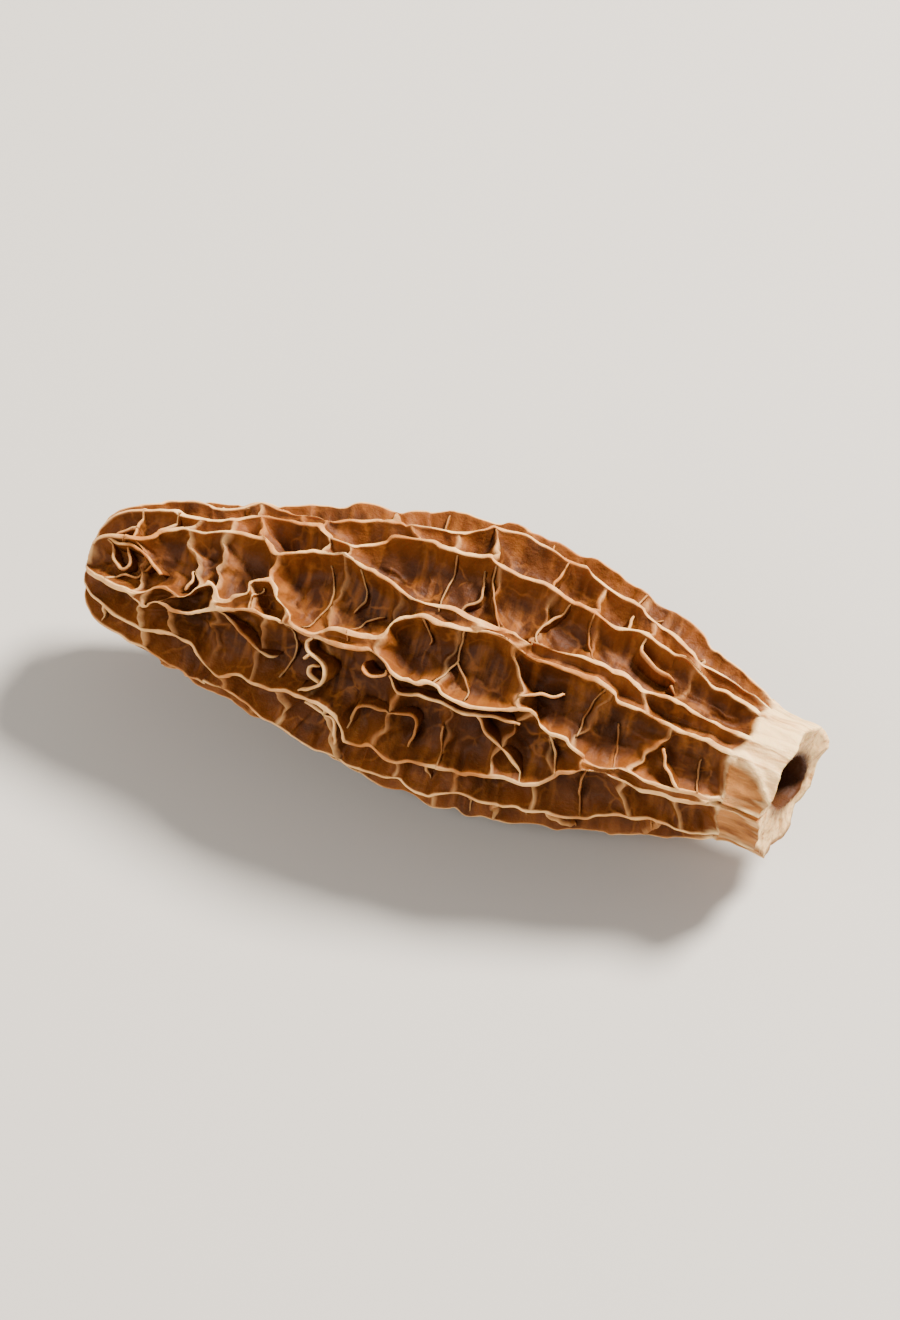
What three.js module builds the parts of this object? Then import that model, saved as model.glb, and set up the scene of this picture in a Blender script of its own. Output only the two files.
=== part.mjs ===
// A dried morel mushroom with its stem cut short, lying on its side.
// It is one hollow fruit body: the cap with its net of ridges and pits and the stub of the stem grew as
// one. Millimetres, +Z up. The tip of the cap points to -X, the cut end of the stem to +X, and it rests on
// Z = 0.
// The plain body is turned from its half outline, and the net, the grooves and the ragged cut are raised
// from it by formula.
import * as THREE from "three";

// Driving sizes
const LENGTH = 45; // from the tip of the cap to the cut end
const MARGIN = 41.8; // from the tip to where the cap ends and the stem begins
const PIT_DEPTH = 2.15; // from the crest of a ridge to the floor of a pit, at the belly
const PIT_DEPTH_AT_TIP = 1.35;
const PIT_DEPTH_AT_MARGIN = 1.35;
const DEEPEST = [0.38, 0.68]; // the stretch where pits have their full depth, in shares of the cap
const POLE_DEPTH = 0.6; // of the little round pit at the very tip
const WALL = 1.0; // flesh between the floor of a pit and the hollow inside
const CREST_HALF = 0.16; // half the thickness of a ridge at its crest
const FOOT_HALF = 0.62; // from the middle of a ridge to its foot
const NARROW_CREST = 0.2; // the same two in a narrow column of pits, as shares of its width
const NARROW_FOOT = 0.36;
const DEPTH_ACROSS = [0, 0.86, 1, 0.86, 0]; // share of the depth at crest, foot, middle, foot and crest
const NARROWEST = 0.25; // a column narrower than this has no depth
const DEPTH_BY_WIDTH = 0.9; // most depth for each mm that a column is wider than that
const GROOVE_DEPTH = 0.5; // of the grooves on the stem
const HOLE_LONG = 3.1; // half the length of the oval hole in the cut end, towards the viewer
const HOLE_SHORT = 1.6; // half its width
const HOLE_ASIDE = 0.4; // from the middle of the cut end to the middle of the hole
const CUT_RAGGED = 0.14; // how far the cut end strays from a plane
const CUT_SUNK = 0.3; // how far the edge of the hole lies behind the rim
const CUT_SLANT = 0.6; // how much shorter the stem is on the side that shows
const CUT_RADIUS = 4.1; // of the stem at the cut

// The half outline over the crests, as [distance from the tip, radius]
const OUTLINE = [
  [0, 0],
  [0.3, 2.3],
  [1.5, 3.9],
  [4, 4.85],
  [8, 5.7],
  [15.4, 7.5],
  [23, 8.75],
  [31, 7.9],
  [37.5, 6.0],
  [40.8, 4.85],
  [42.4, 4.2],
  [LENGTH, 4.1],
];

// Angles are counted in degrees from the side that faces the viewer, which is the top turned towards -Y by
// this much
const FACE = 35;

// The ridges that run lengthwise, as [distance from the tip, angle], laid out as they show on the side in
// view
const SHOWN_RIDGES = [
  [
    [2, -60], [4, -75], [8, -68], [9.5, -73], [11.3, -64], [13, -63], [14.5, -56], [16.4, -58],
    [21, -57], [23.5, -62], [24.7, -69], [28.4, -68], [31.9, -65], [34.6, -60], [38, -56], [40.4, -62],
    [42, -70],
  ],
  [
    [2, -54], [5.4, -56], [8.4, -51], [9.8, -57], [11, -58], [12.1, -53], [14.4, -50], [16.7, -40],
    [17.9, -44], [20.7, -49], [22.5, -47], [25, -47], [27.1, -45], [29.7, -44], [33, -44], [35.4, -48],
    [38.9, -46], [40.1, -48], [42, -56],
  ],
  [
    [2, -24], [5.3, -28], [6.6, -37], [8.7, -41], [10.5, -39], [12.7, -30], [13.6, -34], [15.2, -34],
    [18.2, -31], [19.6, -28], [21.8, -21], [24.5, -20], [31, -20], [36.3, -22], [41, -24], [42.5, -28],
  ],
  [
    [2, 12], [4.3, 14], [4.8, 8], [5.2, 0], [5.9, 0], [6.6, 9], [7.3, -1], [8, -5], [8.7, -3], [9.4, 3],
    [11, -2], [12.3, -17], [13.1, -13], [13.8, -9], [14.3, -1], [16, 4], [17.4, 0], [19.9, -2],
    [20.4, -4], [20.9, -12], [21.6, -15], [27.7, -17], [28.8, -13], [29.5, -12], [30.5, -15],
    [33.4, -15], [34.5, -10], [36, -7], [37.3, -9], [39.5, -10], [42.5, -12],
  ],
  [
    [2, 15], [4.3, 17], [5.2, 24], [5.9, 23], [6.6, 13], [7.6, 16], [8.6, 14], [9.4, 8], [11.7, 3],
    [14, 5], [15.6, 7], [16.8, 5], [19.7, 3], [20.3, 5], [21.4, 11], [23, 12], [23.9, 10], [25.9, 13],
    [27.3, 12], [29.1, 7], [29.7, 12], [31.1, 16], [33, 17], [34.7, 25], [36.8, 26], [39.4, 29],
    [41.6, 31], [42.6, 28],
  ],
  [
    [2, 32], [3.1, 38], [6, 41], [7.1, 37], [8.8, 38], [9.9, 50], [10.7, 44], [12.1, 42], [14, 37],
    [18.1, 35], [18.9, 40], [19.2, 49], [20.8, 46], [22.1, 48], [28.5, 45], [31.5, 39], [32.7, 34],
    [34.7, 30], [36.8, 30], [37.7, 33], [39.4, 33], [41.6, 35], [42.6, 32],
  ],
  [
    [2, 62], [5.1, 62], [7.8, 76], [9.8, 62], [12, 66], [15.3, 72], [17, 78], [19.1, 66], [27, 60],
    [34.4, 61], [35.9, 56], [37.4, 57], [39.3, 65], [41.7, 72],
  ],
];
// The mean angles of the ridges out of sight, and how far they stray. The second and third bear the body
const HIDDEN_RIDGES = [
  { angle: 100, stray: 5 },
  { angle: 132, stray: 1.5 },
  { angle: 162, stray: 1.5 },
  { angle: 195, stray: 4 },
  { angle: 230, stray: 6 },
  { angle: 267, stray: 4 },
];
const RIDGE_STEP = 4.6; // between the points of a ridge out of sight
const KINK = 0.2; // how far a ridge is drawn aside where a low ridge meets it

// The low ridges that cross between two lengthwise ones, as [distance from the tip, share of the full
// height, how much farther from the tip the second of the two is met]
const SHOWN_CROSSINGS = [
  [
    [9.6, 0.9, 0], [12.2, 0.8, 0], [14.4, 1, 0], [20, 1, 0.8], [22.3, 0.7, 0], [25, 1, 1.9],
    [31.5, 0.8, 0], [34.5, 0.8, 0], [37.5, 0.8, 0],
  ],
  [
    [6.3, 0.85, 0], [8.4, 0.9, 0], [10.4, 1, 1.2], [14.8, 1, 0.3], [16.8, 1, 0.2], [25.9, 0.55, 1.6],
    [29, 0.5, -0.6], [32.1, 0.55, 1.1], [37.3, 0.4, 0],
  ],
  [
    [4.4, 0.8, 1.8], [7, 0.75, 1.9], [8.6, 0.75, -0.1], [12.4, 1, 0], [16.4, 0.35, 0], [20.3, 0.45, 0],
    [25, 0.9, 0], [27.9, 1, 0], [35.6, 0.9, 0],
  ],
  [
    [4.6, 1, 0], [6.7, 1, 0], [9.5, 1, 0], [11.7, 0.8, 0], [14.1, 1, 0], [15.8, 1, 0], [20, 1, 0],
    [24.5, 0.35, 0], [28.4, 1, 1.4], [33.3, 0.5, -0.5], [37.4, 0.95, -1.7],
  ],
  [
    [4.8, 0.95, -0.4], [7.2, 0.95, 0.4], [9.8, 0.5, 0], [12.6, 0.6, 0], [16.3, 0.8, 0],
    [21.2, 0.8, -0.3], [25.1, 0.45, 0.3], [28.6, 0.85, -1.3], [32, 0.6, 0.8], [34.7, 1, 0],
  ],
  [
    [4.8, 0.9, 0], [9.9, 1, 0], [13.8, 0.8, 0.4], [18.3, 1, 0.3], [22.5, 0.7, -0.3], [26.5, 0.8, 0.3],
    [31, 0.8, -0.3], [36.7, 1, 0], [39.8, 0.7, 0],
  ],
];
const LEAN_REACH = 4; // rows on each side of a low ridge that lean with it
const CROSSING_HEIGHTS = [1, 0.16]; // share of a low ridge's height on its own row, and on those beside it
const SAG = 0.2; // how much lower it is halfway across

// Columns of pits that close near the tip, where the two ridges beside them run together
const CLOSING = { 7: 5.5, 9: 7, 11: 5 };
const CLOSED = 0.08; // share of its width that is left of a closed column

// The rest of the mesh
const SEED = 20261;
const CAP_ROWS = 58; // rows of points from the tip to the margin
const RING_ROW = 2; // the row of the round ridge at the very tip
const STEM_ROWS = 5;
const CUT_ROWS = 2;
const HOLLOW_ROWS = 12;
const HOLLOW_START = 3.6; // distance from the tip at which the hollow ends
const SAMPLES = 5; // points across a column: crest, foot, middle, foot, crest
const ROUNDING = 0.3; // how far each way a path is averaged, in mm
const FIRST_RIDGE_POINT = 2; // distance from the tip of the first point of a ridge out of sight
const LEAST_STEP = 4; // rows between the low ridges out of sight
const LOWEST_CROSSING = 0.5; // share of the full height of the lowest of them
const HIDDEN_LEAN = 1.6; // how far they lean, in rows
const LAST_CROSSING_ROW = 54;
const STRAY_LONG = 0.3; // how far rows stray along the axis, in rows, in long waves round the body
const STRAY_SHORT = 0.25; // and in short ones
const OUT_OF_ROUND = [0.022, 0.016]; // share of the radius, two and three times round
const MOUTH = 4; // how far up the cap the hollow is shaped by the hole
const END_ROUNDING = 5; // length of the rounded end of the hollow

// How the body is bent and set down
const BEND_START = 0.5; // share of the length at which the axis begins to turn
const BEND_SIDE = -1.9; // how far the cut end is carried along Y
const BEND_UP = -0.55; // and along Z
const AXIS_HEIGHT = 8.25; // of the straight part of the axis above the plane it rests on
const MIDDLE = [22.982, 0.166]; // of the finished body, from the tip and beside the straight axis

const TURN = 2 * Math.PI;
const radians = THREE.MathUtils.degToRad;
const smooth = THREE.MathUtils.smoothstep;

// Repeatable random numbers
let drawn = SEED;
function draw(low, high) {
  drawn = (drawn * 16807) % 2147483647;
  return low + ((high - low) * drawn) / 2147483647;
}

// The half outline as a curve, and its points at equal steps
const outlinePoints = OUTLINE.map(([x, radius]) => new THREE.Vector2(x, radius));
const outline = new THREE.SplineCurve(outlinePoints).getSpacedPoints(900);
const marginStep = outline.findIndex((p) => p.x >= MARGIN);

// The point of the outline at a row of the cap, and the way out of the surface there
function outlineAt(row) {
  const step = THREE.MathUtils.clamp((row / CAP_ROWS) * marginStep, 0, outline.length - 1.001);
  const low = Math.floor(step);
  const [a, b] = [outline[low], outline[low + 1]];
  const along = b.clone().sub(a).normalize();
  return { place: a.clone().lerp(b, step - low), out: new THREE.Vector2(-along.y, along.x) };
}

// The radius of the outline at a distance from the tip
function outlineRadius(x) {
  const next = Math.max(1, outline.findIndex((p) => p.x >= x));
  const [a, b] = [outline[next - 1], outline[next]];
  return THREE.MathUtils.mapLinear(x, a.x, b.x, a.y, b.y);
}

// The row of the cap at a distance from the tip
const exactRowAt = (x) => (outline.findIndex((p) => p.x >= x) / marginStep) * CAP_ROWS;

// The value of a path of [distance, value] points at a distance, with its corners rounded
function along(path, x) {
  const straight = (at) => {
    const next = path.findIndex(([px]) => px >= at);
    if (next < 0) {
      return path.at(-1)[1];
    }
    if (next === 0) {
      return path[0][1];
    }
    const [[x0, v0], [x1, v1]] = [path[next - 1], path[next]];
    return v0 + ((v1 - v0) * (at - x0)) / (x1 - x0);
  };
  return (straight(x - ROUNDING) + straight(x) + straight(x + ROUNDING)) / 3;
}

const ridges = [...SHOWN_RIDGES];
for (const { angle, stray } of HIDDEN_RIDGES) {
  const path = [];
  for (let x = FIRST_RIDGE_POINT; x < MARGIN; x += RIDGE_STEP) {
    path.push([x, angle + draw(-stray, stray)]);
  }
  ridges.push(path);
}

const crossings = SHOWN_CROSSINGS.map((list) =>
  list.map(([x, height, lean]) => ({
    row: Math.round(exactRowAt(x)),
    height,
    lean: exactRowAt(x + lean / 2) - exactRowAt(x - lean / 2),
  })),
);
while (crossings.length < ridges.length) {
  const before = crossings.at(-1);
  const list = [];
  let row = RING_ROW;
  while (row <= LAST_CROSSING_ROW) {
    row += Math.round(draw(LEAST_STEP, LEAST_STEP + 1 + 6 * smooth(row / CAP_ROWS, 0.08, 0.35)));
    while (before.some((c) => Math.abs(row - c.row) < 2)) {
      row += 1;
    }
    list.push({ row, height: draw(LOWEST_CROSSING, 1), lean: draw(-HIDDEN_LEAN, HIDDEN_LEAN) });
  }
  crossings.push(list.filter((c) => c.row <= LAST_CROSSING_ROW));
}

// The sum of something over the low ridges of a column that are within reach of a row, fading with distance
function nearby(column, row, reach, amount) {
  const fade = (c) => Math.max(0, 1 - Math.abs(row - c.row) / reach);
  const list = crossings[(column + ridges.length) % ridges.length];
  return list.reduce((sum, c) => sum + amount(c) * fade(c), 0);
}

// How far a ridge is drawn aside, in mm, by the low ridges that meet it
function kink(ridge, row) {
  const pull = (column) => nearby(column, row, 2, (c) => c.height);
  return KINK * (pull(ridge) - pull(ridge - 1));
}

// How far a row leans along the axis at a ridge, in rows, so that the low ridges lean
function leanAt(ridge, row) {
  const lean = (column) => nearby(column, row, LEAN_REACH, (c) => c.lean / 2);
  return lean(ridge - 1) - lean(ridge);
}

// The angles of the lengthwise ridges at a row, with the first one repeated a full turn on
function ridgeAngles(row) {
  const { x, y: radius } = outlineAt(row).place;
  const kinked = smooth(x, 1, 5) / Math.max(radius, 2);
  const angles = ridges.map((path, k) => radians(FACE + along(path, x)) + kinked * kink(k, row));
  angles.push(angles[0] + TURN);
  for (const [column, reach] of Object.entries(CLOSING)) {
    const [left, right] = [Number(column), Number(column) + 1];
    const middle = (angles[left] + angles[right]) / 2;
    const open = CLOSED + (1 - CLOSED) * smooth(x, reach - 2, reach + 3);
    angles[left] = middle + (angles[left] - middle) * open;
    angles[right] = middle + (angles[right] - middle) * open;
  }
  angles[ridges.length] = angles[0] + TURN;
  return angles;
}

function pitDepth(share) {
  const rise = smooth(share, 0, DEEPEST[0]);
  const fall = smooth(share, DEEPEST[1], 1);
  const deep = PIT_DEPTH_AT_TIP + (PIT_DEPTH - PIT_DEPTH_AT_TIP) * rise;
  return deep + (PIT_DEPTH_AT_MARGIN - PIT_DEPTH) * fall;
}

// How far rows stray along the axis, in rows, so that no low ridge runs straight round the cap
function stray(angle, row) {
  const share = row / CAP_ROWS;
  const held = smooth(share, 0.04, 0.16);
  const long = STRAY_LONG * Math.sin(3 * angle + 9 * share);
  const short = STRAY_SHORT * Math.sin(7 * angle - 13 * share + 1.2);
  return held * (long + short);
}

// A dried body is never quite round
function outOfRound(angle, share) {
  const oval = OUT_OF_ROUND[0] * Math.sin(2 * angle + 0.8 + 3 * share);
  const threeSided = OUT_OF_ROUND[1] * Math.sin(3 * angle - 5 * share);
  return 1 + oval + threeSided;
}

// Sets a point of the body in its place: the distance from the tip, the radius and the angle from the top
function setDown(x, radius, angle) {
  const past = Math.max(0, (x / LENGTH - BEND_START) / (1 - BEND_START));
  const slope = (2 * past) / ((1 - BEND_START) * LENGTH);
  const [side, up] = [-Math.sin(angle) * radius, Math.cos(angle) * radius];
  const lean = (BEND_SIDE * side + BEND_UP * up) * slope;
  return new THREE.Vector3(
    x - lean - MIDDLE[0],
    BEND_SIDE * past * past + side + MIDDLE[1],
    Math.max(0, AXIS_HEIGHT + BEND_UP * past * past + up),
  );
}

// Where a segment of the turned body lies at a row: its column of pits, its angle and its share of the
// depth there
function segmentAt(segment, angles, radius) {
  const column = Math.floor(segment / SAMPLES);
  const span = angles[column + 1] - angles[column];
  const width = Math.max(span * radius, 0.01);
  const crest = Math.min(CREST_HALF, NARROW_CREST * width);
  const foot = Math.min(FOOT_HALF, NARROW_FOOT * width);
  const sample = segment % SAMPLES;
  const across = [crest, foot, width / 2, width - foot, width - crest][sample] / width;
  return { column, width, across, depth: DEPTH_ACROSS[sample], angle: angles[column] + span * across };
}

// The share of the depth that is left where low ridges cross a column
function underCrossings(column, row, across) {
  let left = 1;
  for (const c of crossings[column]) {
    const near = CROSSING_HEIGHTS[Math.abs(row - c.row)] ?? 0;
    left *= 1 - near * (c.height - SAG * Math.sin(Math.PI * across));
  }
  return left;
}

// A row of the cap, as the point at each segment
function capRow(row) {
  const share = row / CAP_ROWS;
  const radius = outlineAt(row).place.y;
  const angles = ridgeAngles(row);
  return (segment) => {
    const { column, width, across, depth, angle } = segmentAt(segment, angles, radius);
    let deep = Math.min(pitDepth(share), DEPTH_BY_WIDTH * Math.max(0, width - NARROWEST)) * depth;
    deep *= row === RING_ROW || row === CAP_ROWS ? 0 : underCrossings(column, row, across);
    if (row < RING_ROW) {
      deep = POLE_DEPTH;
    }
    const lean = leanAt(column, row) * (1 - across) + leanAt(column + 1, row) * across;
    const { place, out } = outlineAt(row + stray(angle, row) + lean);
    place.addScaledVector(out, -deep);
    return setDown(place.x, place.y * (row ? outOfRound(angle, share) : 0), angle);
  };
}

// How far the slanted cut lies back from the end at a radius and an angle
function cutSlant(radius, angle) {
  return (CUT_SLANT * (1 + (radius / CUT_RADIUS) * Math.cos(angle - radians(FACE)))) / 2;
}

// A row of the stem, whose grooves run on from the columns of pits
const marginAngles = ridgeAngles(CAP_ROWS);
function stemRow(row) {
  const down = row / STEM_ROWS;
  return (segment) => {
    const { depth, angle } = segmentAt(segment, marginAngles, outlineRadius(MARGIN));
    const ragged = CUT_RAGGED * (Math.sin(3 * angle) + 0.8 * Math.sin(8 * angle + 2)) * down;
    const end = LENGTH - cutSlant(CUT_RADIUS, angle);
    const x = MARGIN + (end - MARGIN) * down + ragged + 0.5 * (1 - down) * stray(angle, CAP_ROWS);
    const groove = GROOVE_DEPTH * depth * (1 - 0.5 * down);
    return setDown(x, (outlineRadius(Math.min(x, LENGTH)) - groove) * outOfRound(angle, 1), angle);
  };
}

// The radius of the oval hole at an angle, counted from the middle of the cut end
function holeRadius(angle) {
  const [cos, sin] = [Math.cos(angle - radians(FACE)), Math.sin(angle - radians(FACE))];
  const a = (cos / HOLE_LONG) ** 2 + (sin / HOLE_SHORT) ** 2;
  const b = (HOLE_ASIDE * sin) / HOLE_SHORT ** 2;
  const c = (HOLE_ASIDE / HOLE_SHORT) ** 2 - 1;
  return (Math.sqrt(b * b - a * c) - b) / a;
}

// A row of the cut face, from the rim (0) to the edge of the hole (1)
function cutRow(inward) {
  return (segment) => {
    const { depth, angle } = segmentAt(segment, marginAngles, outlineRadius(MARGIN));
    const rim = (outlineRadius(LENGTH) - 0.5 * GROOVE_DEPTH * depth) * outOfRound(angle, 1);
    const radius = rim + (holeRadius(angle) - rim) * inward;
    return setDown(LENGTH - cutSlant(radius, angle) - CUT_SUNK * Math.sqrt(inward), radius, angle);
  };
}

// A row of the hollow, which follows the floors of the pits from the hole (0) to its end inside the tip (1)
function hollowRow(inward) {
  const start = LENGTH - 2 * CUT_SUNK;
  const x = start - (start - HOLLOW_START) * inward;
  const floor = outlineRadius(x) - pitDepth(Math.min(x / MARGIN, 1)) - WALL;
  const mouth = smooth(x, MARGIN - MOUTH, LENGTH);
  const end = Math.sqrt(1 - (1 - smooth(x, HOLLOW_START, HOLLOW_START + END_ROUNDING)) ** 2);
  return (segment) => {
    const { angle } = segmentAt(segment, marginAngles, outlineRadius(MARGIN));
    const slant = cutSlant(holeRadius(angle), angle) * mouth;
    return setDown(x - slant, (floor * (1 - mouth) + holeRadius(angle) * mouth) * end, angle);
  };
}

// The body, row by row from the tip along the outside to the cut end, and back along the hollow
function fruitBody() {
  const rows = [];
  for (let row = 0; row <= CAP_ROWS; row++) {
    rows.push(capRow(row));
  }
  for (let row = 1; row <= STEM_ROWS; row++) {
    rows.push(stemRow(row));
  }
  for (let row = 1; row <= CUT_ROWS; row++) {
    rows.push(cutRow(row / CUT_ROWS));
  }
  for (let row = 0; row <= HOLLOW_ROWS; row++) {
    rows.push(hollowRow(row / HOLLOW_ROWS));
  }

  const segments = ridges.length * SAMPLES;
  const isEnd = (i) => i === 0 || i === rows.length - 1;
  const plain = rows.map((_, i) => new THREE.Vector2(isEnd(i) ? 0 : 1, i));
  const geometry = new THREE.LatheGeometry(plain, segments);
  const position = geometry.getAttribute("position");
  for (let segment = 0; segment <= segments; segment++) {
    rows.forEach((pointAt, i) => {
      const p = pointAt(segment % segments);
      position.setXYZ(segment * rows.length + i, p.x, p.y, p.z);
    });
  }
  geometry.computeVertexNormals();
  const flesh = new THREE.MeshStandardMaterial({ color: 0x9a5a22, roughness: 0.75, metalness: 0 });
  const mesh = new THREE.Mesh(geometry, flesh);
  mesh.name = "fruit_body";
  return mesh;
}

const morel = new THREE.Group();
morel.name = "morel";
morel.add(fruitBody());

export default morel;
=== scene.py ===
import math

import bmesh
import bpy
import numpy as np
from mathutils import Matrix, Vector, kdtree, noise


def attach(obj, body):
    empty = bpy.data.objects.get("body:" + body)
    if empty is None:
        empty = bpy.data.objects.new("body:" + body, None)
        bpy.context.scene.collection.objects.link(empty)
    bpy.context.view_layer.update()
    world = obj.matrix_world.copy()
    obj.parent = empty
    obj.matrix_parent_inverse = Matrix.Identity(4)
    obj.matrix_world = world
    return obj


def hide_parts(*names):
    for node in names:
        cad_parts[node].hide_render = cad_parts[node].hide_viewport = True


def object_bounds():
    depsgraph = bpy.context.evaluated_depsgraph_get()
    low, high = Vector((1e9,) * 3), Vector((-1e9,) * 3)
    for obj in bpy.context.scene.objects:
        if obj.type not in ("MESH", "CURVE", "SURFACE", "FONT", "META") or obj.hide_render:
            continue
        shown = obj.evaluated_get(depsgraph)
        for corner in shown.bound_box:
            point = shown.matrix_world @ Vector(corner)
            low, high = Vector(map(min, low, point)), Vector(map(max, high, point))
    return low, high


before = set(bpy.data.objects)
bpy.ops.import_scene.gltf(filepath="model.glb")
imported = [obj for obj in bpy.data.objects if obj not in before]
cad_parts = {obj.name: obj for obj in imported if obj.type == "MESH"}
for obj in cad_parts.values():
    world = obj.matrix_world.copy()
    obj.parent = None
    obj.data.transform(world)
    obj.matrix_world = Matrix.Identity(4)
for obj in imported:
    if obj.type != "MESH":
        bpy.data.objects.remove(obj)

cad_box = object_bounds()
low, high = cad_box

# Camera: it looks down on the side that shows in the photograph, from a little towards the cut end, so that
# the mushroom slopes from its tip at the upper left to its stem at the lower right.
CAMERA_AZIMUTH = math.radians(19.3)
CAMERA_ELEVATION = math.radians(55)
CAMERA_DISTANCE = 0.262
camera_data = bpy.data.cameras.new("camera")
camera_data.lens = 120
camera_data.clip_start = 0.01
camera_data.clip_end = 5
camera = bpy.data.objects.new("camera", camera_data)
bpy.context.scene.collection.objects.link(camera)
bpy.context.scene.camera = camera
away = Vector((
    math.sin(CAMERA_AZIMUTH) * math.cos(CAMERA_ELEVATION),
    -math.cos(CAMERA_AZIMUTH) * math.cos(CAMERA_ELEVATION),
    math.sin(CAMERA_ELEVATION),
))
camera.location = (low + high) / 2 + away * CAMERA_DISTANCE
camera.rotation_euler = away.to_track_quat("Z", "Y").to_euler()

# Floor: a plain sheet of pale matt paper that the mushroom lies on. It isn't part of the mushroom.
FLOOR_HALF = 0.6
floor_mesh = bpy.data.meshes.new("floor")
bm = bmesh.new()
bmesh.ops.create_grid(bm, x_segments=1, y_segments=1, size=FLOOR_HALF)
bm.to_mesh(floor_mesh)
bm.free()
floor = bpy.data.objects.new("floor", floor_mesh)
bpy.context.scene.collection.objects.link(floor)
paper = bpy.data.materials.new("pale_paper")
paper.use_nodes = True
paper_shader = paper.node_tree.nodes["Principled BSDF"]
paper_shader.inputs["Base Color"].default_value = (0.50, 0.475, 0.44, 1)
paper_shader.inputs["Roughness"].default_value = 0.85
floor_mesh.materials.append(paper)


# Studio light: a soft lamp high behind the mushroom's upper edge, a weaker and broader one in front of it,
# and a pale room all round.
def soft_lamp(name, azimuth, elevation, distance, size, power, colour):
    lamp = bpy.data.lights.new(name, "AREA")
    lamp.shape = "DISK"
    lamp.size = size
    lamp.energy = power
    lamp.color = colour
    holder = bpy.data.objects.new(name, lamp)
    bpy.context.scene.collection.objects.link(holder)
    turn, rise = math.radians(azimuth), math.radians(elevation)
    direction = Vector((math.sin(turn) * math.cos(rise), -math.cos(turn) * math.cos(rise), math.sin(rise)))
    holder.location = direction * distance
    holder.rotation_euler = direction.to_track_quat("Z", "Y").to_euler()


soft_lamp("key_lamp", azimuth=140, elevation=52, distance=0.5, size=0.14, power=10.6, colour=(1, 0.94, 0.86))
soft_lamp("fill_lamp", azimuth=-35, elevation=40, distance=0.6, size=0.4, power=2.4, colour=(1, 0.95, 0.9))
room = bpy.data.worlds.new("pale_room")
room.use_nodes = True
room.node_tree.nodes["Background"].inputs["Color"].default_value = (1.0, 0.96, 0.91, 1)
room.node_tree.nodes["Background"].inputs["Strength"].default_value = 0.55
bpy.context.scene.world = room

# The fruit body: one dried, hollow piece of leathery flesh. Its cap is a net of thin pale ridges round deep
# amber pits, grown in one with a short fluted stem, which is cut through, so that the hollow shows. Sizes are
# in millimetres and angles in degrees, until a point is set down.
LENGTH = 45
MARGIN = 41.8
PIT_DEPTH = 2.15
PIT_DEPTH_AT_TIP = 1.35
PIT_DEPTH_AT_MARGIN = 1.35
POLE_DEPTH = 0.6
WALL = 1.0
GROOVE_DEPTH = 0.5
HOLE_LONG = 3.1
HOLE_SHORT = 1.6
HOLE_ASIDE = 0.4
CUT_RAGGED = 0.14
CUT_SUNK = 0.3
CUT_SLANT = 0.6
CUT_RADIUS = 4.1
# The outline of the plain body, as (distance from the tip, radius)
OUTLINE = [
    (0, 0), (0.3, 2.3), (1.5, 3.9), (4, 4.85), (8, 5.7), (15.4, 7.5), (23, 8.75), (31, 7.9), (37.5, 6.0),
    (40.8, 4.85), (42.4, 4.2), (LENGTH, 4.1),
]
# The middle of the shown side, in degrees from upright, from which angles are counted
FACE = 35
# The lengthwise ridges of the shown side, as (distance from the tip, angle)
SHOWN_RIDGES = [
    [(2, -60), (4, -75), (8, -68), (9.5, -73), (11.3, -64), (13, -63), (14.5, -56), (16.4, -58), (21, -57),
     (23.5, -62), (24.7, -69), (28.4, -68), (31.9, -65), (34.6, -60), (38, -56), (40.4, -62), (42, -70)],
    [(2, -54), (5.4, -56), (8.4, -51), (9.8, -57), (11, -58), (12.1, -53), (14.4, -50), (16.7, -40),
     (17.9, -44), (20.7, -49), (22.5, -47), (25, -47), (27.1, -45), (29.7, -44), (33, -44), (35.4, -48),
     (38.9, -46), (40.1, -48), (42, -56)],
    [(2, -24), (5.3, -28), (6.6, -37), (8.7, -41), (10.5, -39), (12.7, -30), (13.6, -34), (15.2, -34),
     (18.2, -31), (19.6, -28), (21.8, -21), (24.5, -20), (31, -20), (36.3, -22), (41, -24), (42.5, -28)],
    [(2, 13), (4.3, 15), (4.8, 8), (5.2, 0), (5.9, 0), (6.6, 9), (7.3, -1), (8, -5), (8.7, -3), (9.4, 3),
     (11, -2), (12.3, -17), (13.1, -13), (13.8, -9), (14.3, -1), (16, 4), (17.4, 0), (19.9, -2), (20.4, -4),
     (20.9, -12), (21.6, -15), (27.7, -17), (28.8, -13), (29.5, -12), (30.5, -15), (33.4, -15), (34.5, -10),
     (36, -7), (37.3, -9), (39.5, -10), (42.5, -12)],
    [(2, 14), (4.3, 16), (5.2, 24), (5.9, 23), (6.6, 13), (7.6, 16), (8.6, 14), (9.4, 8), (11.7, 3), (14, 5),
     (15.6, 7), (16.8, 5), (19.7, 3), (20.3, 5), (21.4, 11), (23, 12), (23.9, 10), (25.9, 13), (27.3, 12),
     (29.1, 7), (29.7, 12), (31.1, 16), (33, 17), (34.7, 25), (36.8, 26), (39.4, 29), (41.6, 31), (42.6, 28)],
    [(2, 32), (3.1, 38), (6, 41), (7.1, 37), (8.8, 38), (9.9, 50), (10.7, 44), (12.1, 42), (14, 37),
     (18.1, 35), (18.9, 40), (19.2, 49), (20.8, 46), (22.1, 48), (28.5, 45), (31.5, 39), (32.7, 34),
     (34.7, 30), (36.8, 30), (37.7, 33), (39.4, 33), (41.6, 35), (42.6, 32)],
    [(2, 62), (5.1, 62), (7.8, 76), (9.8, 62), (12, 66), (15.3, 72), (17, 78), (19.1, 66), (27, 60),
     (34.4, 61), (35.9, 56), (37.4, 57), (39.3, 65), (41.7, 72)],
]
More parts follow.
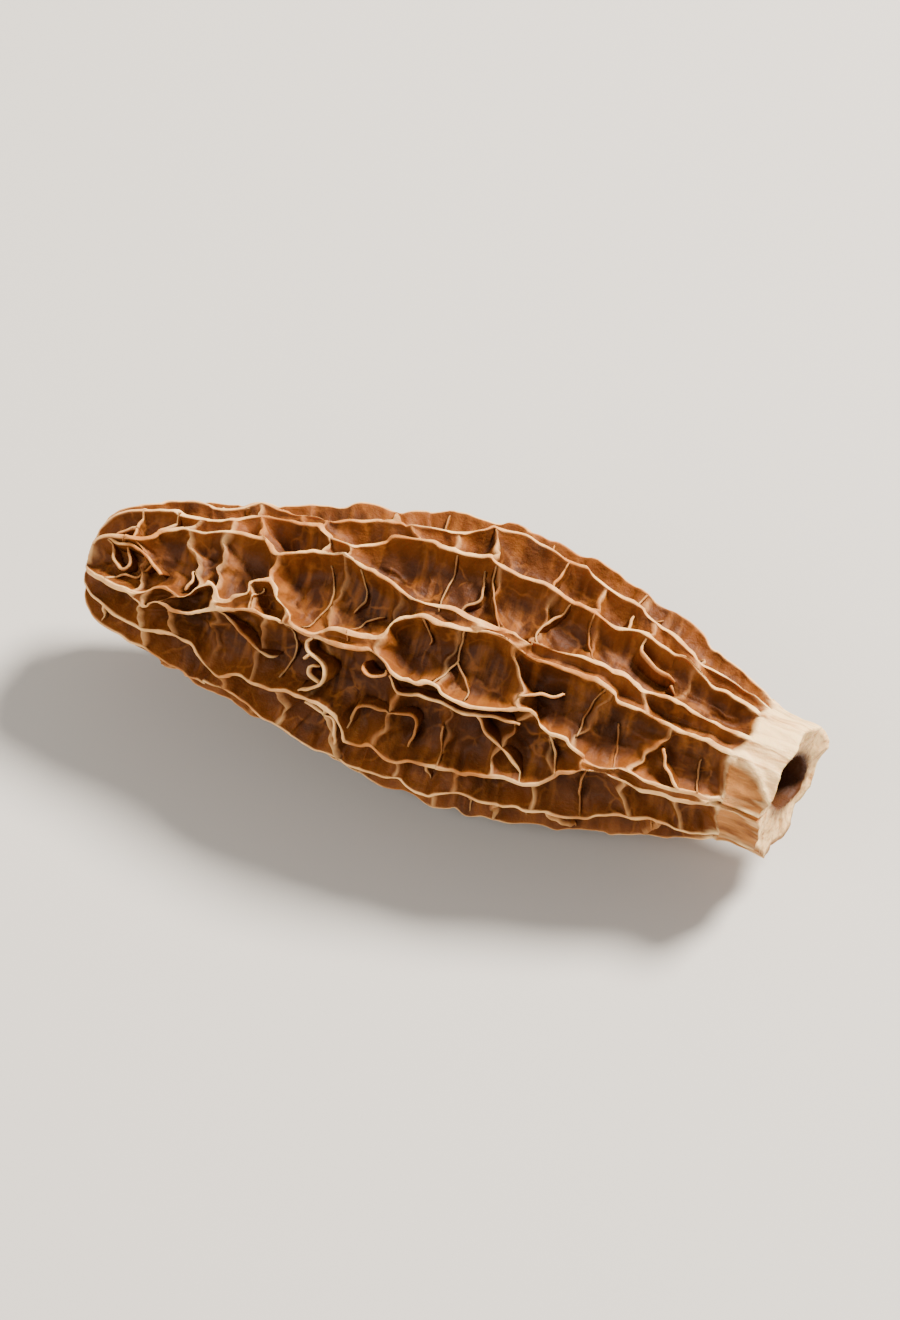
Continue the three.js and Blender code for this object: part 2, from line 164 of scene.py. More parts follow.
# Those of the hidden side, as (angle, how far it strays)
HIDDEN_RIDGES = [(100, 5), (132, 1.5), (162, 1.5), (195, 4), (230, 6), (267, 4)]
RIDGE_STEP = 4.6
KINK = 0.2
# The low ridges across each column of pits, as (distance from the tip, share of the full height, lean)
SHOWN_CROSSINGS = [
    [(9.6, 0.9, 0), (12.2, 0.8, 0), (14.4, 1, 0), (20, 1, 0.8), (22.3, 0.7, 0), (25, 1, 1.9), (31.5, 0.8, 0),
     (34.5, 0.8, 0), (37.5, 0.8, 0)],
    [(6.3, 0.85, 0), (8.4, 0.9, 0), (10.4, 1, 1.2), (14.8, 1, 0.3), (16.8, 1, 0.2), (25.9, 0.55, 1.6),
     (29, 0.5, -0.6), (32.1, 0.55, 1.1), (37.3, 0.4, 0)],
    [(4.4, 0.8, 1.8), (7, 0.75, 1.9), (8.6, 0.75, -0.1), (12.4, 1, 0), (16.4, 0.35, 0), (20.3, 0.45, 0),
     (25, 0.9, 0), (27.9, 1, 0), (35.6, 0.9, 0)],
    [(4.6, 1, 0), (6.7, 1, 0), (9.5, 1, 0), (11.7, 0.8, 0), (14.1, 1, 0), (15.8, 1, 0), (20, 1, 0),
     (24.5, 0.35, 0), (28.4, 1, 1.4), (33.3, 0.5, -0.5), (37.4, 0.95, -1.7)],
    [(4.8, 0.95, -0.4), (7.2, 0.95, 0.4), (9.8, 0.5, 0), (12.6, 0.6, 0), (16.3, 0.3, 0), (21.2, 0.8, -0.3),
     (25.1, 0.45, 0.3), (28.6, 0.85, -1.3), (32, 0.6, 0.8), (34.7, 1, 0)],
    [(4.8, 0.9, 0), (9.9, 1, 0), (13.8, 0.8, 0.4), (18.3, 1, 0.3), (22.5, 0.7, -0.3), (26.5, 0.8, 0.3),
     (31, 0.8, -0.3), (36.7, 1, 0), (39.8, 0.7, 0)],
]
LEAN_REACH = 4
# Columns of the hidden side that close up before the tip, each with the distance from it
CLOSING = {7: 5.5, 9: 7, 11: 5}
CLOSED_SHARE = 0.08
SEED = 20261
CAP_ROWS = 58
RING_ROW = 2
LAST_CROSSING_ROW = 54
HOLLOW_START = 3.6
BEND_START = 0.5
BEND_SIDE = -1.9
BEND_UP = -0.55
AXIS_HEIGHT = 8.25
MIDDLE = (22.982, 0.166)
# The low ridges in the dish at the tip, as (angle at the middle, degrees that it bends in a millimetre)
TIP_SPOKES = [(-95, 25), (10, -14), (175, -22)]
# The strand across the stem, as (distance from the tip, angle)
STRAND = [(42, -14), (43.4, -4), (44.1, 8), (44.9, 20)]
STRAND_RISE = 0.18
FIBRE_RISE = 0.045
CREST_WAVE = 0.22
CREST_LOWERED = 0.12
PLEAT_RISE = 0.09
PLEAT_LENGTH = 1.0
RIDGE_LEAN = 0.14
FLOOR_LUMPS = 0.16
FOLD_RISE = 0.13
CAP_ARC_RADIUS = 8
STEM_ARC_RADIUS = 4.2
TURN = 2 * math.pi
METRES = 0.001

# How fine the mesh is: points across each column of pits, and rows. Across a column the points close up at
# the ridges, where the walls are steep, and each has its share of the depth.
POINTS_ACROSS = [28, 32, 28, 34, 34, 28, 24, 20, 20, 20, 20, 20, 22]
ROWS_PER_STEP = 4
ROW_LENGTH = 0.74
STEM_STEPS = 20
CUT_STEPS = 7
HOLLOW_STEPS = 20
ASIDE = np.array([0, 0.06, 0.11, 0.135, 0.12, 0.13, 0.19, 0.32, 0.55])
DEPTH_ASIDE = np.array([0, 0.0, 0.015, 0.05, 0.12, 0.26, 0.45, 0.65, 0.81])

DRAW_FACTOR = 16807
DRAW_LIMIT = 2147483647
drawn = SEED
noise.seed_set(SEED)


# The next of a series of even draws between two values, which is the same on every run
def draw(lowest, highest):
    global drawn
    drawn = drawn * DRAW_FACTOR % DRAW_LIMIT
    return lowest + (highest - lowest) * drawn / DRAW_LIMIT


# From 0 at the start to 1 at the end, easy at both
def smooth(value, start, end):
    share = np.clip((value - start) / (end - start), 0, 1)
    return share * share * (3 - 2 * share)


def rounded(value):
    return math.floor(value + 0.5)


# A curve through points, given back as evenly spaced points along it
def curve_through(points, steps):
    knots = np.array(points, float)
    padded = np.vstack([knots[:1], knots, knots[-1:]])
    t = np.linspace(0, 1, 60, endpoint=False)[:, None]
    stretches = []
    for i in range(len(knots) - 1):
        p0, p1, p2, p3 = padded[i:i + 4]
        v1, v2 = (p2 - p0) / 2, (p3 - p1) / 2
        cubic = (2 * p1 - 2 * p2 + v1 + v2) * t**3
        stretches.append(cubic + (3 * p2 - 3 * p1 - 2 * v1 - v2) * t**2 + v1 * t + p1)
    dense = np.vstack([*stretches, knots[-1:]])
    gone = np.concatenate([[0], np.cumsum(np.linalg.norm(np.diff(dense, axis=0), axis=1))])
    even = np.linspace(0, gone[-1], steps + 1)
    return np.stack([np.interp(even, gone, dense[:, 0]), np.interp(even, gone, dense[:, 1])], axis=1)


outline = curve_through(OUTLINE, 900)
margin_step = int(np.argmax(outline[:, 0] >= MARGIN))
outline_way = np.gradient(outline, axis=0)
outline_way /= np.linalg.norm(outline_way, axis=1, keepdims=True)


# The outline at a row of the cap: its place, and the way that points out of it
def outline_at(row):
    step = np.clip(row / CAP_ROWS * margin_step, 0, len(outline) - 1.001)
    steps = np.arange(len(outline))
    x, radius = (np.interp(step, steps, outline[:, i]) for i in (0, 1))
    along_x, along_radius = (np.interp(step, steps, outline_way[:, i]) for i in (0, 1))
    return x, radius, -along_radius, along_x


def outline_radius(x):
    return np.interp(x, outline[:, 0], outline[:, 1])


def row_at(x):
    return np.interp(x, outline[:, 0], np.arange(len(outline))) / margin_step * CAP_ROWS


# The angle of a ridge at a distance from the tip, with its corners eased
def along(path, x):
    at, value = zip(*path)
    return sum(np.interp(x + shift, at, value) for shift in (-0.3, 0, 0.3)) / 3


ridges = list(SHOWN_RIDGES)
for angle, strays in HIDDEN_RIDGES:
    path = []
    x = 2.0
    while x < MARGIN:
        path.append((x, angle + draw(-strays, strays)))
        x += RIDGE_STEP
    ridges.append(path)

crossings = [
    [(rounded(row_at(x)), height, row_at(x + lean / 2) - row_at(x - lean / 2)) for x, height, lean in shown]
    for shown in SHOWN_CROSSINGS
]
while len(crossings) < len(ridges):
    taken = [row for row, _, _ in crossings[-1]]
    crossing = []
    row = RING_ROW
    while row <= LAST_CROSSING_ROW:
        row += rounded(draw(4, 5 + 6 * smooth(row / CAP_ROWS, 0.08, 0.35)))
        while any(abs(row - other) < 2 for other in taken):
            row += 1
        crossing.append((row, draw(0.5, 1), draw(-1.6, 1.6)))
    crossings.append([low_ridge for low_ridge in crossing if low_ridge[0] <= LAST_CROSSING_ROW])


def near(rows, row, reach):
    return np.clip(1 - np.abs(rows - row) / reach, 0, 1)


# The angles of the lengthwise ridges at each row, with the first one repeated a full turn on
def ridge_angles(rows):
    x, radius, _, _ = outline_at(rows)
    pull = [sum(height * near(rows, row, 2) for row, height, _ in crossing) for crossing in crossings]
    kinked = KINK * smooth(x, 1, 5) / np.maximum(radius, 2)
    angles = [
        np.radians(FACE + along(path, x)) + kinked * (pull[k] - pull[k - 1]) for k, path in enumerate(ridges)
    ]
    angles.append(angles[0] + TURN)
    for column, reach in CLOSING.items():
        middle = (angles[column] + angles[column + 1]) / 2
        opened = CLOSED_SHARE + (1 - CLOSED_SHARE) * smooth(x, reach - 2, reach + 3)
        angles[column] = middle + (angles[column] - middle) * opened
        angles[column + 1] = middle + (angles[column + 1] - middle) * opened
    return np.stack(angles, axis=1)


# The depth of a pit at a share of the way from the tip to the margin
def pit_depth(share):
    deep = PIT_DEPTH_AT_TIP + (PIT_DEPTH - PIT_DEPTH_AT_TIP) * smooth(share, 0, 0.38)
    return deep + (PIT_DEPTH_AT_MARGIN - PIT_DEPTH) * smooth(share, 0.68, 1)


# How far a row strays along the axis, in rows, in the long waves of the plain body and in short ones
def stray(angle, row):
    share = row / CAP_ROWS
    long_waves = 0.3 * np.sin(3 * angle + 9 * share) + 0.25 * np.sin(7 * angle - 13 * share + 1.2)
    short_waves = 0.2 * np.sin(19 * angle + 5 * np.sin(31 * share)) + 0.12 * np.sin(37 * angle - 50 * share)
    return smooth(share, 0.04, 0.16) * (long_waves + short_waves * (1 - smooth(share, 0.85, 0.97)))


# No section of it is quite round
def out_of_round(angle, share):
    return 1 + 0.022 * np.sin(2 * angle + 0.8 + 3 * share) + 0.016 * np.sin(3 * angle - 5 * share)


# The place of a point on the bent, lying mushroom
def set_down(x, radius, angle):
    past = np.maximum(0, (x / LENGTH - BEND_START) / (1 - BEND_START))
    slope = 2 * past / ((1 - BEND_START) * LENGTH)
    side, up = -np.sin(angle) * radius, np.cos(angle) * radius
    lean = (BEND_SIDE * side + BEND_UP * up) * slope
    z = AXIS_HEIGHT + BEND_UP * past**2 + up
    return np.stack([x - lean - MIDDLE[0], BEND_SIDE * past**2 + side + MIDDLE[1], z], axis=-1)


# A point of the cap at a row and an angle, this far inside the outline
def cap_point(row, angle, depth):
    x, radius, out_x, out_radius = outline_at(row)
    from_axis = (radius - out_radius * depth) * out_of_round(angle, row / CAP_ROWS)
    return set_down(x - out_x * depth, from_axis, angle)


# Each segment's column of pits, and its place in it, counted from the nearer ridge
points_across = np.array(POINTS_ACROSS)
column = np.repeat(np.arange(len(ridges)), points_across)
sample = np.concatenate([np.arange(count) for count in POINTS_ACROSS])
from_ridge = np.minimum(sample, points_across[column] - sample)
on_left = sample <= points_across[column] // 2
nearer = np.where(on_left, column, (column + 1) % len(ridges))
last_fixed = len(ASIDE) - 1
onward = np.clip((from_ridge - last_fixed) / (points_across[column] // 2 - last_fixed), 0, 1)
depth_share = np.where(
    from_ridge > last_fixed, DEPTH_ASIDE[-1] + (1 - DEPTH_ASIDE[-1]) * (1 - (1 - onward) ** 2),
    DEPTH_ASIDE[np.minimum(from_ridge, last_fixed)],
)


NARROW_COLUMN = 1.8
TINY = 0.01


# Where the segments lie at each row: the width of the column, the place across it and the angle
def spread(angles, radius):
    width = (angles[:, column + 1] - angles[:, column]) * np.maximum(radius, TINY)[:, None]
    width = np.maximum(width, TINY)
    scale = np.minimum(1, width / NARROW_COLUMN)
    foot = ASIDE[-1] * scale
    aside = np.where(
        from_ridge > last_fixed, foot + (width / 2 - foot) * onward,
        ASIDE[np.minimum(from_ridge, last_fixed)] * scale,
    )
    across = np.where(on_left, aside / width, 1 - aside / width)
    return width, across, angles[:, column] + (angles[:, column + 1] - angles[:, column]) * across


LOW_RIDGE_ASIDE = [0, 0.06, 0.11, 0.16, 0.28, 0.5, 0.8, 1.3]
LOW_RIDGE_DEPTH = [0, 0, 0.12, 0.3, 0.52, 0.75, 0.92, 1]


# The share of the full depth at a distance from the middle of a low ridge, which is narrower near the tip
def fall_off(distance, x):
    return np.interp(distance / (0.5 + 0.5 * smooth(x, 4, 13)), LOW_RIDGE_ASIDE, LOW_RIDGE_DEPTH)


# The grooves of the stem are faint on the side that shows, above its middle
def grooved(angle):
    return 0.3 + 0.7 * smooth(np.cos(angle - math.radians(FACE + 70)), -0.35, 0.6)


# Uneven lumps from a few crossed waves, from -1 to 1, with this size in millimetres
def lumps(x, aside, size):
    first = np.sin(1.9 * x / size + 1.7 * np.sin(1.3 * aside / size + 0.6))
    second = np.sin(2.3 * aside / size + 1.9 * np.sin(1.1 * x / size + 2.1))
    third = np.sin(1.4 * (x + aside) / size + 1.3 * np.sin(1.7 * (x - aside) / size))
    return (first + second + third) / 3


cap_rows = np.arange(CAP_ROWS * ROWS_PER_STEP + 1)[:, None] / ROWS_PER_STEP
cap_share = cap_rows / CAP_ROWS
cap_x, cap_radius, _, _ = outline_at(cap_rows)
cap_angles = ridge_angles(cap_rows[:, 0])
held = smooth(cap_x, 2, 6)

# The ridges wander a little, and no two alike
phase = np.array([[draw(0, TURN) for _ in range(3)] for _ in ridges])
ridge_number = np.arange(len(ridges))
wander = 0.10 * lumps(cap_x, 40 * ridge_number, 1.1) + 0.05 * lumps(cap_x, 70 * ridge_number, 0.45)
cap_angles[:, :-1] += wander * held / np.maximum(cap_radius, 2)
cap_angles[:, -1] = cap_angles[:, 0] + TURN
width, across, cap_angle = spread(cap_angles, cap_radius[:, 0])

# The low ridges between them
left = np.ones_like(cap_angle)
low_rim = np.zeros_like(cap_angle)
for number, crossing in enumerate(crossings):
    here = column == number
    for row, height, _ in crossing:
        distance = np.abs(cap_rows - row) * ROW_LENGTH
        tall = height - 0.2 * np.sin(math.pi * across[:, here])
        left[:, here] *= 1 - tall * (1 - fall_off(distance, cap_x))
        pale = (1 - smooth(distance, 0.04, 0.14)) * (0.2 + 0.5 * smooth(tall, 0.3, 0.9))
        low_rim[:, here] = np.maximum(low_rim[:, here], pale)

# Pleats down the walls, lumps and fine folds on the floors, and ridges that lean
arc = cap_angle * CAP_ARC_RADIUS
wall = 4 * depth_share * (1 - depth_share)
floor_share = smooth(depth_share, 0.6, 0.95) * smooth(left, 0.3, 0.9)
uneven = 2.4 * np.sin(0.9 * cap_x + phase[nearer, 1])
pleat = np.sin(TURN * cap_x / PLEAT_LENGTH + phase[nearer, 0] + uneven)
ridge_lean = RIDGE_LEAN * np.sin(0.7 * cap_x + phase[nearer, 2]) * (1 - depth_share)
sideways = PLEAT_RISE * pleat * wall * np.where(on_left, 1, -1) + ridge_lean
cap_angle = cap_angle + sideways * held / np.maximum(cap_radius, 2) * smooth(width, 0.8, 2)
folds = 1 - smooth(np.abs(lumps(cap_x, arc, 1.0)), 0, 0.16)
rough_floor = FLOOR_LUMPS * lumps(cap_x, arc, 0.8) - FOLD_RISE * folds

# The depth of the cap's surface at each point, with a rim round the dish at the tip and grooves at the stem
deep = np.minimum(pit_depth(cap_share), 0.9 * np.maximum(0, width - 0.25)) * depth_share * left
deep = deep + rough_floor * floor_share * smooth(deep, 0.5, 1.4)
to_stem = np.sqrt(np.clip(CAP_ROWS - cap_rows, 0, 1))
ring = RING_ROW + 0.5 * np.sin(2 * cap_angle + 1) + 0.3 * np.sin(3 * cap_angle)
deep = deep * smooth(np.abs(cap_rows - ring), 0, 0.8) * to_stem
deep = deep + 0.8 * GROOVE_DEPTH * np.sin(math.pi * across) ** 0.7 * grooved(cap_angle) * (1 - to_stem)
pole = cap_rows < ring
from_spoke = np.min([
    np.where(np.cos(cap_angle - spoke) > 0, np.abs(np.sin(cap_angle - spoke)), 1) * cap_radius
    for spoke in (math.radians(FACE + start) + math.radians(bent) * cap_radius for start, bent in TIP_SPOKES)
], axis=0)
deep = np.where(pole, POLE_DEPTH * smooth(ring - cap_rows, 0, 1) * smooth(from_spoke, 0.04, 0.45), deep)

# Crests rise and fall, and a leaning low ridge takes its surroundings along
wavy = CREST_WAVE * lumps(cap_x, 25 * nearer, 0.9)
crest_wave = wavy * (1 - depth_share) * held * (1 - smooth(cap_share, 0.9, 1))
crest_wave = crest_wave - CREST_LOWERED * (1 - depth_share) * held
lean_half = np.stack([
    sum(lean / 2 * near(cap_rows[:, 0], row, LEAN_REACH) for row, _, lean in crossing)
    for crossing in crossings
])
lean_at = (np.roll(lean_half, 1, axis=0) - lean_half).T
next_column = (column + 1) % len(ridges)
leaning = lean_at[:, column] * (1 - across) + lean_at[:, next_column] * across
true_row = cap_rows + stray(cap_angle, cap_rows) + leaning
cap = cap_point(true_row, cap_angle, deep - crest_wave)
cap[0] = cap[0].mean(axis=0)

# How pale the surface is, as a crest
tip_rim = 1 - smooth(np.abs(cap_rows - ring) * ROW_LENGTH, 0.04, 0.26)
spoke_rim = np.where(pole, 1 - smooth(from_spoke, 0.04, 0.22), 0)
crest = np.where(pole, 0, np.maximum(1 - smooth(deep, 0.02, 0.1), low_rim))
crest = np.maximum(crest, np.maximum(tip_rim, spoke_rim))


# How far the slanted cut lies back from the end at a radius and an angle
def cut_slant(radius, angle):
    return CUT_SLANT * (1 + radius / CUT_RADIUS * np.cos(angle - math.radians(FACE))) / 2


# The stem, whose strands run on from the ridges and are split into fibres
margin_angles = ridge_angles(np.array([float(CAP_ROWS)]))
_, stem_across, stem_angle = spread(margin_angles, outline_radius(np.array([MARGIN])))
groove_share = np.sin(math.pi * stem_across) ** 0.7
down = (np.arange(1, STEM_STEPS + 1) / STEM_STEPS)[:, None]
stem_arc = stem_angle * STEM_ARC_RADIUS
ragged = CUT_RAGGED * (np.sin(3 * stem_angle) + 0.8 * np.sin(8 * stem_angle + 2)) * down
ragged = ragged + 0.06 * lumps(0, stem_arc, 0.35) * down
stem_end = LENGTH - cut_slant(CUT_RADIUS, stem_angle)
stem_x = MARGIN + (stem_end - MARGIN) * down + ragged + 0.5 * (1 - down) * stray(stem_angle, CAP_ROWS)
fibre = lumps(stem_x * 0.2, stem_arc, 0.25) * smooth(down, 0, 0.2)
groove = GROOVE_DEPTH * groove_share * grooved(stem_angle) * (0.85 - 0.35 * down) + FIBRE_RISE * fibre

# One strand crosses the stem aslant from the shown side down to the cut, and below it the stem's lower side
# is painted browner as painted shade
turned_from_face = (np.degrees(stem_angle) - FACE + 180) % 360 - 180
past_strand = turned_from_face - np.interp(stem_x, *zip(*STRAND))
strand = 1 - smooth(np.abs(past_strand), 1, 5)
groove = groove - STRAND_RISE * strand * smooth(down, 0, 0.2)
stem_lower_side_painted_shade = smooth(past_strand, 3, 14) * (1 - smooth(turned_from_face, 130, 170))
stem_lower_side_painted_shade = stem_lower_side_painted_shade * (0.5 + 0.35 * lumps(stem_x * 0.15, stem_arc, 0.16))
stem = set_down(
    stem_x, (outline_radius(np.minimum(stem_x, LENGTH)) - groove) * out_of_round(stem_angle, 1), stem_angle
)

# The cut face, from the rim to the hole
inward = (np.arange(1, CUT_STEPS + 1) / CUT_STEPS)[:, None]
rim_radius = (outline_radius(LENGTH) - groove[-1:]) * out_of_round(stem_angle, 1)
cosine, sine = np.cos(stem_angle - math.radians(FACE)), np.sin(stem_angle - math.radians(FACE))
square = (cosine / HOLE_LONG) ** 2 + (sine / HOLE_SHORT) ** 2
aside = HOLE_ASIDE * sine / HOLE_SHORT**2
hole = (np.sqrt(aside**2 - square * ((HOLE_ASIDE / HOLE_SHORT) ** 2 - 1)) - aside) / square
cut_radius = rim_radius + (hole - rim_radius) * inward
cut_x = LENGTH - cut_slant(cut_radius, stem_angle) + ragged[-1:] * (1 - inward) - CUT_SUNK * np.sqrt(inward)
cut_x = cut_x + 0.07 * lumps(cut_radius * 3, stem_arc, 0.5)
cut = set_down(cut_x, cut_radius, stem_angle)

# The hollow, which follows the floors of the pits
inside = (np.arange(HOLLOW_STEPS + 1) / HOLLOW_STEPS)[:, None]
hollow_x = LENGTH - 2 * CUT_SUNK - (LENGTH - 2 * CUT_SUNK - HOLLOW_START) * inside
hollow_floor = outline_radius(hollow_x) - pit_depth(np.minimum(hollow_x / MARGIN, 1)) - WALL
mouth = smooth(hollow_x, MARGIN - 4, LENGTH)
end = np.sqrt(1 - (1 - smooth(hollow_x, HOLLOW_START, HOLLOW_START + 5)) ** 2)
slanted_x = hollow_x - cut_slant(hole, stem_angle) * mouth
hollow = set_down(slanted_x, (hollow_floor * (1 - mouth) + hole * mouth) * end, stem_angle)


# One value for each point, from those of the cap, the stem, the cut and the hollow
def by_row(*values):
    shown = (cap, stem, cut, hollow)
    return np.concatenate([np.broadcast_to(value, part.shape[:2]) for value, part in zip(values, shown)])


# What the material reads at each point: pale rims, the depth in a pit or a groove, which darkens it as
# painted shade, painted shade on the stem's lower side, the stem, and the hollow, painted dark as shade
body_place = np.concatenate([cap, stem, cut, hollow])
body_surface = {
    "crest": by_row(crest, 0, 0, 0),
    "deep": by_row(deep / PIT_DEPTH, (groove / GROOVE_DEPTH + stem_lower_side_painted_shade) * (1 - strand), 0.2 + 0.3 * inward, 1),
    "stem": by_row(smooth(cap_share, 0.97, 1.0) * (1 - smooth(deep, 0.05, 0.35)), 1, 1, 1),
    "hollow": by_row(0, 0, smooth(inward, 0.6, 1), 1),
}


LONG_WARP = 0.12
SHORT_WARP = 0.06


# A plain tube with closed ends is turned, with a row of points for each row of places, and each point is
# moved to its place, a little astray as on anything that dried
def turned(place, surface):
    rows, around = place.shape[:2]
    bm = bmesh.new()
    profile = [bm.verts.new((row, 0 if row in (0, rows - 1) else 1, 0)) for row in range(rows)]
    edges = [bm.edges.new(pair) for pair in zip(profile[:-1], profile[1:])]
    bmesh.ops.spin(
        bm, geom=profile + edges, cent=(0, 0, 0), axis=(1, 0, 0), dvec=(0, 0, 0), angle=TURN, steps=around,
        use_merge=True, use_normal_flip=False, use_duplicate=False,
    )
    bmesh.ops.remove_doubles(bm, verts=bm.verts, dist=0.001)
    layers = {name: bm.verts.layers.float.new(name) for name in surface}
    for vert in bm.verts:
        row = round(vert.co.x)
        segment = round(math.atan2(vert.co.z, vert.co.y) / TURN * around) % around
        point = Vector(place[row, segment])
        astray = LONG_WARP * noise.noise_vector(point * 0.4)
        vert.co = point + astray + SHORT_WARP * noise.noise_vector(point * 1.5)
        vert.co.z = max(0, vert.co.z)
        vert.co *= METRES
        for name, layer in layers.items():
            vert[layer] = surface[name][row, segment]
    bmesh.ops.recalc_face_normals(bm, faces=bm.faces)
    # The spin keeps its faces in another order on each run, so they are put in order by their corners
    bm.verts.index_update()
    most = 4 * len(bm.verts)
    corners = {face: [vert.index for vert in face.verts] for face in bm.faces}
    bm.faces.sort(key=lambda face: min(corners[face]) * most + sum(corners[face]))
    mesh = bpy.data.meshes.new("turned")
    bm.to_mesh(mesh)
    bm.free()
    return mesh


def shown_piece(name, mesh):
    mesh.name = name
    for face in mesh.polygons:
        face.use_smooth = True
    piece = bpy.data.objects.new(name, mesh)
    bpy.context.scene.collection.objects.link(piece)
    return piece


body = shown_piece("fruit_body_flesh", turned(body_place, body_surface))

# Its material: tan rims, amber pits that darken with depth as painted shade, pale fibrous stem with painted
# shade in its grooves and below the strand, and a hollow painted dark as shade
flesh = bpy.data.materials.new("dried_flesh")
flesh.use_nodes = True
nodes, links = flesh.node_tree.nodes, flesh.node_tree.links
shader = nodes["Principled BSDF"]


# What the mesh holds for this name at each point
def reading(name):
    node = nodes.new("ShaderNodeAttribute")
    node.attribute_name = name
    return node.outputs["Fac"]


# The colour sockets of a mix node are found by their number
MIX_FIRST = 6
MIX_SECOND = 7
MIX_RESULT = 2


def mixed(factor, first, second):
    node = nodes.new("ShaderNodeMix")
    node.data_type = "RGBA"
    sockets = (node.inputs["Factor"], node.inputs[MIX_FIRST], node.inputs[MIX_SECOND])
    for socket, value in zip(sockets, (factor, first, second)):
        if isinstance(value, (tuple, float)):
            socket.default_value = value
        else:
            links.new(value, socket)
    return node.outputs[MIX_RESULT]


def scaled(value, from_low, from_high, to_low=0.0, to_high=1.0):
    node = nodes.new("ShaderNodeMapRange")
    links.new(value, node.inputs["Value"])
    node.inputs["From Min"].default_value = from_low
    node.inputs["From Max"].default_value = from_high
    node.inputs["To Min"].default_value = to_low
    node.inputs["To Max"].default_value = to_high
    return node.outputs["Result"]


def times(first, second):
    node = nodes.new("ShaderNodeMath")
    node.operation = "MULTIPLY"
    links.new(first, node.inputs[0])
    links.new(second, node.inputs[1])
    return node.outputs[0]


# A mottle, drawn out along the mushroom by stretch
def mottle(scale, detail, roughness=0.6, stretch=1.0):
    coordinates = nodes.new("ShaderNodeTexCoord")
    mapping = nodes.new("ShaderNodeMapping")
    mapping.inputs["Scale"].default_value = (1 / stretch, 1, 1)
    links.new(coordinates.outputs["Object"], mapping.inputs["Vector"])
    node = nodes.new("ShaderNodeTexNoise")
    node.inputs["Scale"].default_value = scale
    node.inputs["Detail"].default_value = detail
    node.inputs["Roughness"].default_value = roughness
    links.new(mapping.outputs["Vector"], node.inputs["Vector"])
    return node.outputs["Fac"]


# The pits' amber: partly their own colour, partly painted shade that deepens towards the floors of the pits
# and down the sides of the veins
AMBER_WITH_PAINTED_SHADE_BY_DEPTH = [
    (0.0, (0.21, 0.062, 0.009, 1)), (0.25, (0.165, 0.046, 0.0065, 1)), (0.7, (0.11, 0.030, 0.004, 1)),
    (1.0, (0.055, 0.0145, 0.0025, 1)),
]
RIM_CREAM = (0.93, 0.53, 0.21, 1)
RIM_TAN = (0.50, 0.19, 0.045, 1)
WALL_LIGHT = (0.25, 0.08, 0.013, 1)
DARK_BLOTCH = (0.045, 0.013, 0.003, 1)
FINE_VEIN = (0.34, 0.115, 0.021, 1)
STEM_CREAM = (0.97, 0.65, 0.30, 1)
STEM_TAN = (0.50, 0.20, 0.05, 1)
STEM_BROWN = (0.20, 0.065, 0.013, 1)
# The hollow's brown, darkened as painted shade, which the cut face takes on next to the hole
HOLLOW_BROWN_WITH_PAINTED_SHADE = (0.06, 0.018, 0.004, 1)

ramp = nodes.new("ShaderNodeValToRGB")
stops = ramp.color_ramp.elements
stops[0].position, stops[0].color = AMBER_WITH_PAINTED_SHADE_BY_DEPTH[0]
stops[1].position, stops[1].color = AMBER_WITH_PAINTED_SHADE_BY_DEPTH[-1]
for position, colour in AMBER_WITH_PAINTED_SHADE_BY_DEPTH[1:-1]:
    stops.new(position).color = colour
links.new(reading("deep"), ramp.inputs["Fac"])
blotched = mixed(scaled(mottle(300, 5), 0.46, 0.72), ramp.outputs["Color"], DARK_BLOTCH)
streaky = mixed(scaled(mottle(260, 3, 0.5, 1 / 5), 0.52, 0.7, 0.0, 0.75), blotched, WALL_LIGHT)

# Fine veins, as the edges between cells of about 2 mm whose sides are bent by a mottle
cells = nodes.new("ShaderNodeTexVoronoi")
cells.feature = "DISTANCE_TO_EDGE"
cells.inputs["Scale"].default_value = 430
bent = nodes.new("ShaderNodeVectorMath")
bent.operation = "MULTIPLY_ADD"
bend = nodes.new("ShaderNodeTexNoise")
bend.inputs["Scale"].default_value = 700
own_place = nodes.new("ShaderNodeTexCoord")
links.new(own_place.outputs["Object"], bend.inputs["Vector"])
links.new(bend.outputs["Color"], bent.inputs[0])
bent.inputs[1].default_value = (0.0016, 0.0016, 0.0016)
links.new(own_place.outputs["Object"], bent.inputs[2])
links.new(bent.outputs["Vector"], cells.inputs["Vector"])
fine_vein = scaled(cells.outputs["Distance"], 0.015, 0.06, 1.0, 0.0)
amber = mixed(times(fine_vein, scaled(mottle(500, 2), 0.42, 0.62, 0.0, 0.42)), streaky, FINE_VEIN)
rim_tone = mixed(scaled(mottle(230, 3), 0.4, 0.6), RIM_TAN, RIM_CREAM)
rims = mixed(times(reading("crest"), scaled(mottle(420, 3), 0.3, 0.5, 0.7, 1.0)), amber, rim_tone)
fibre_tone = mixed(scaled(mottle(1500, 4, 0.6, 9.0), 0.38, 0.62), STEM_BROWN, STEM_TAN)
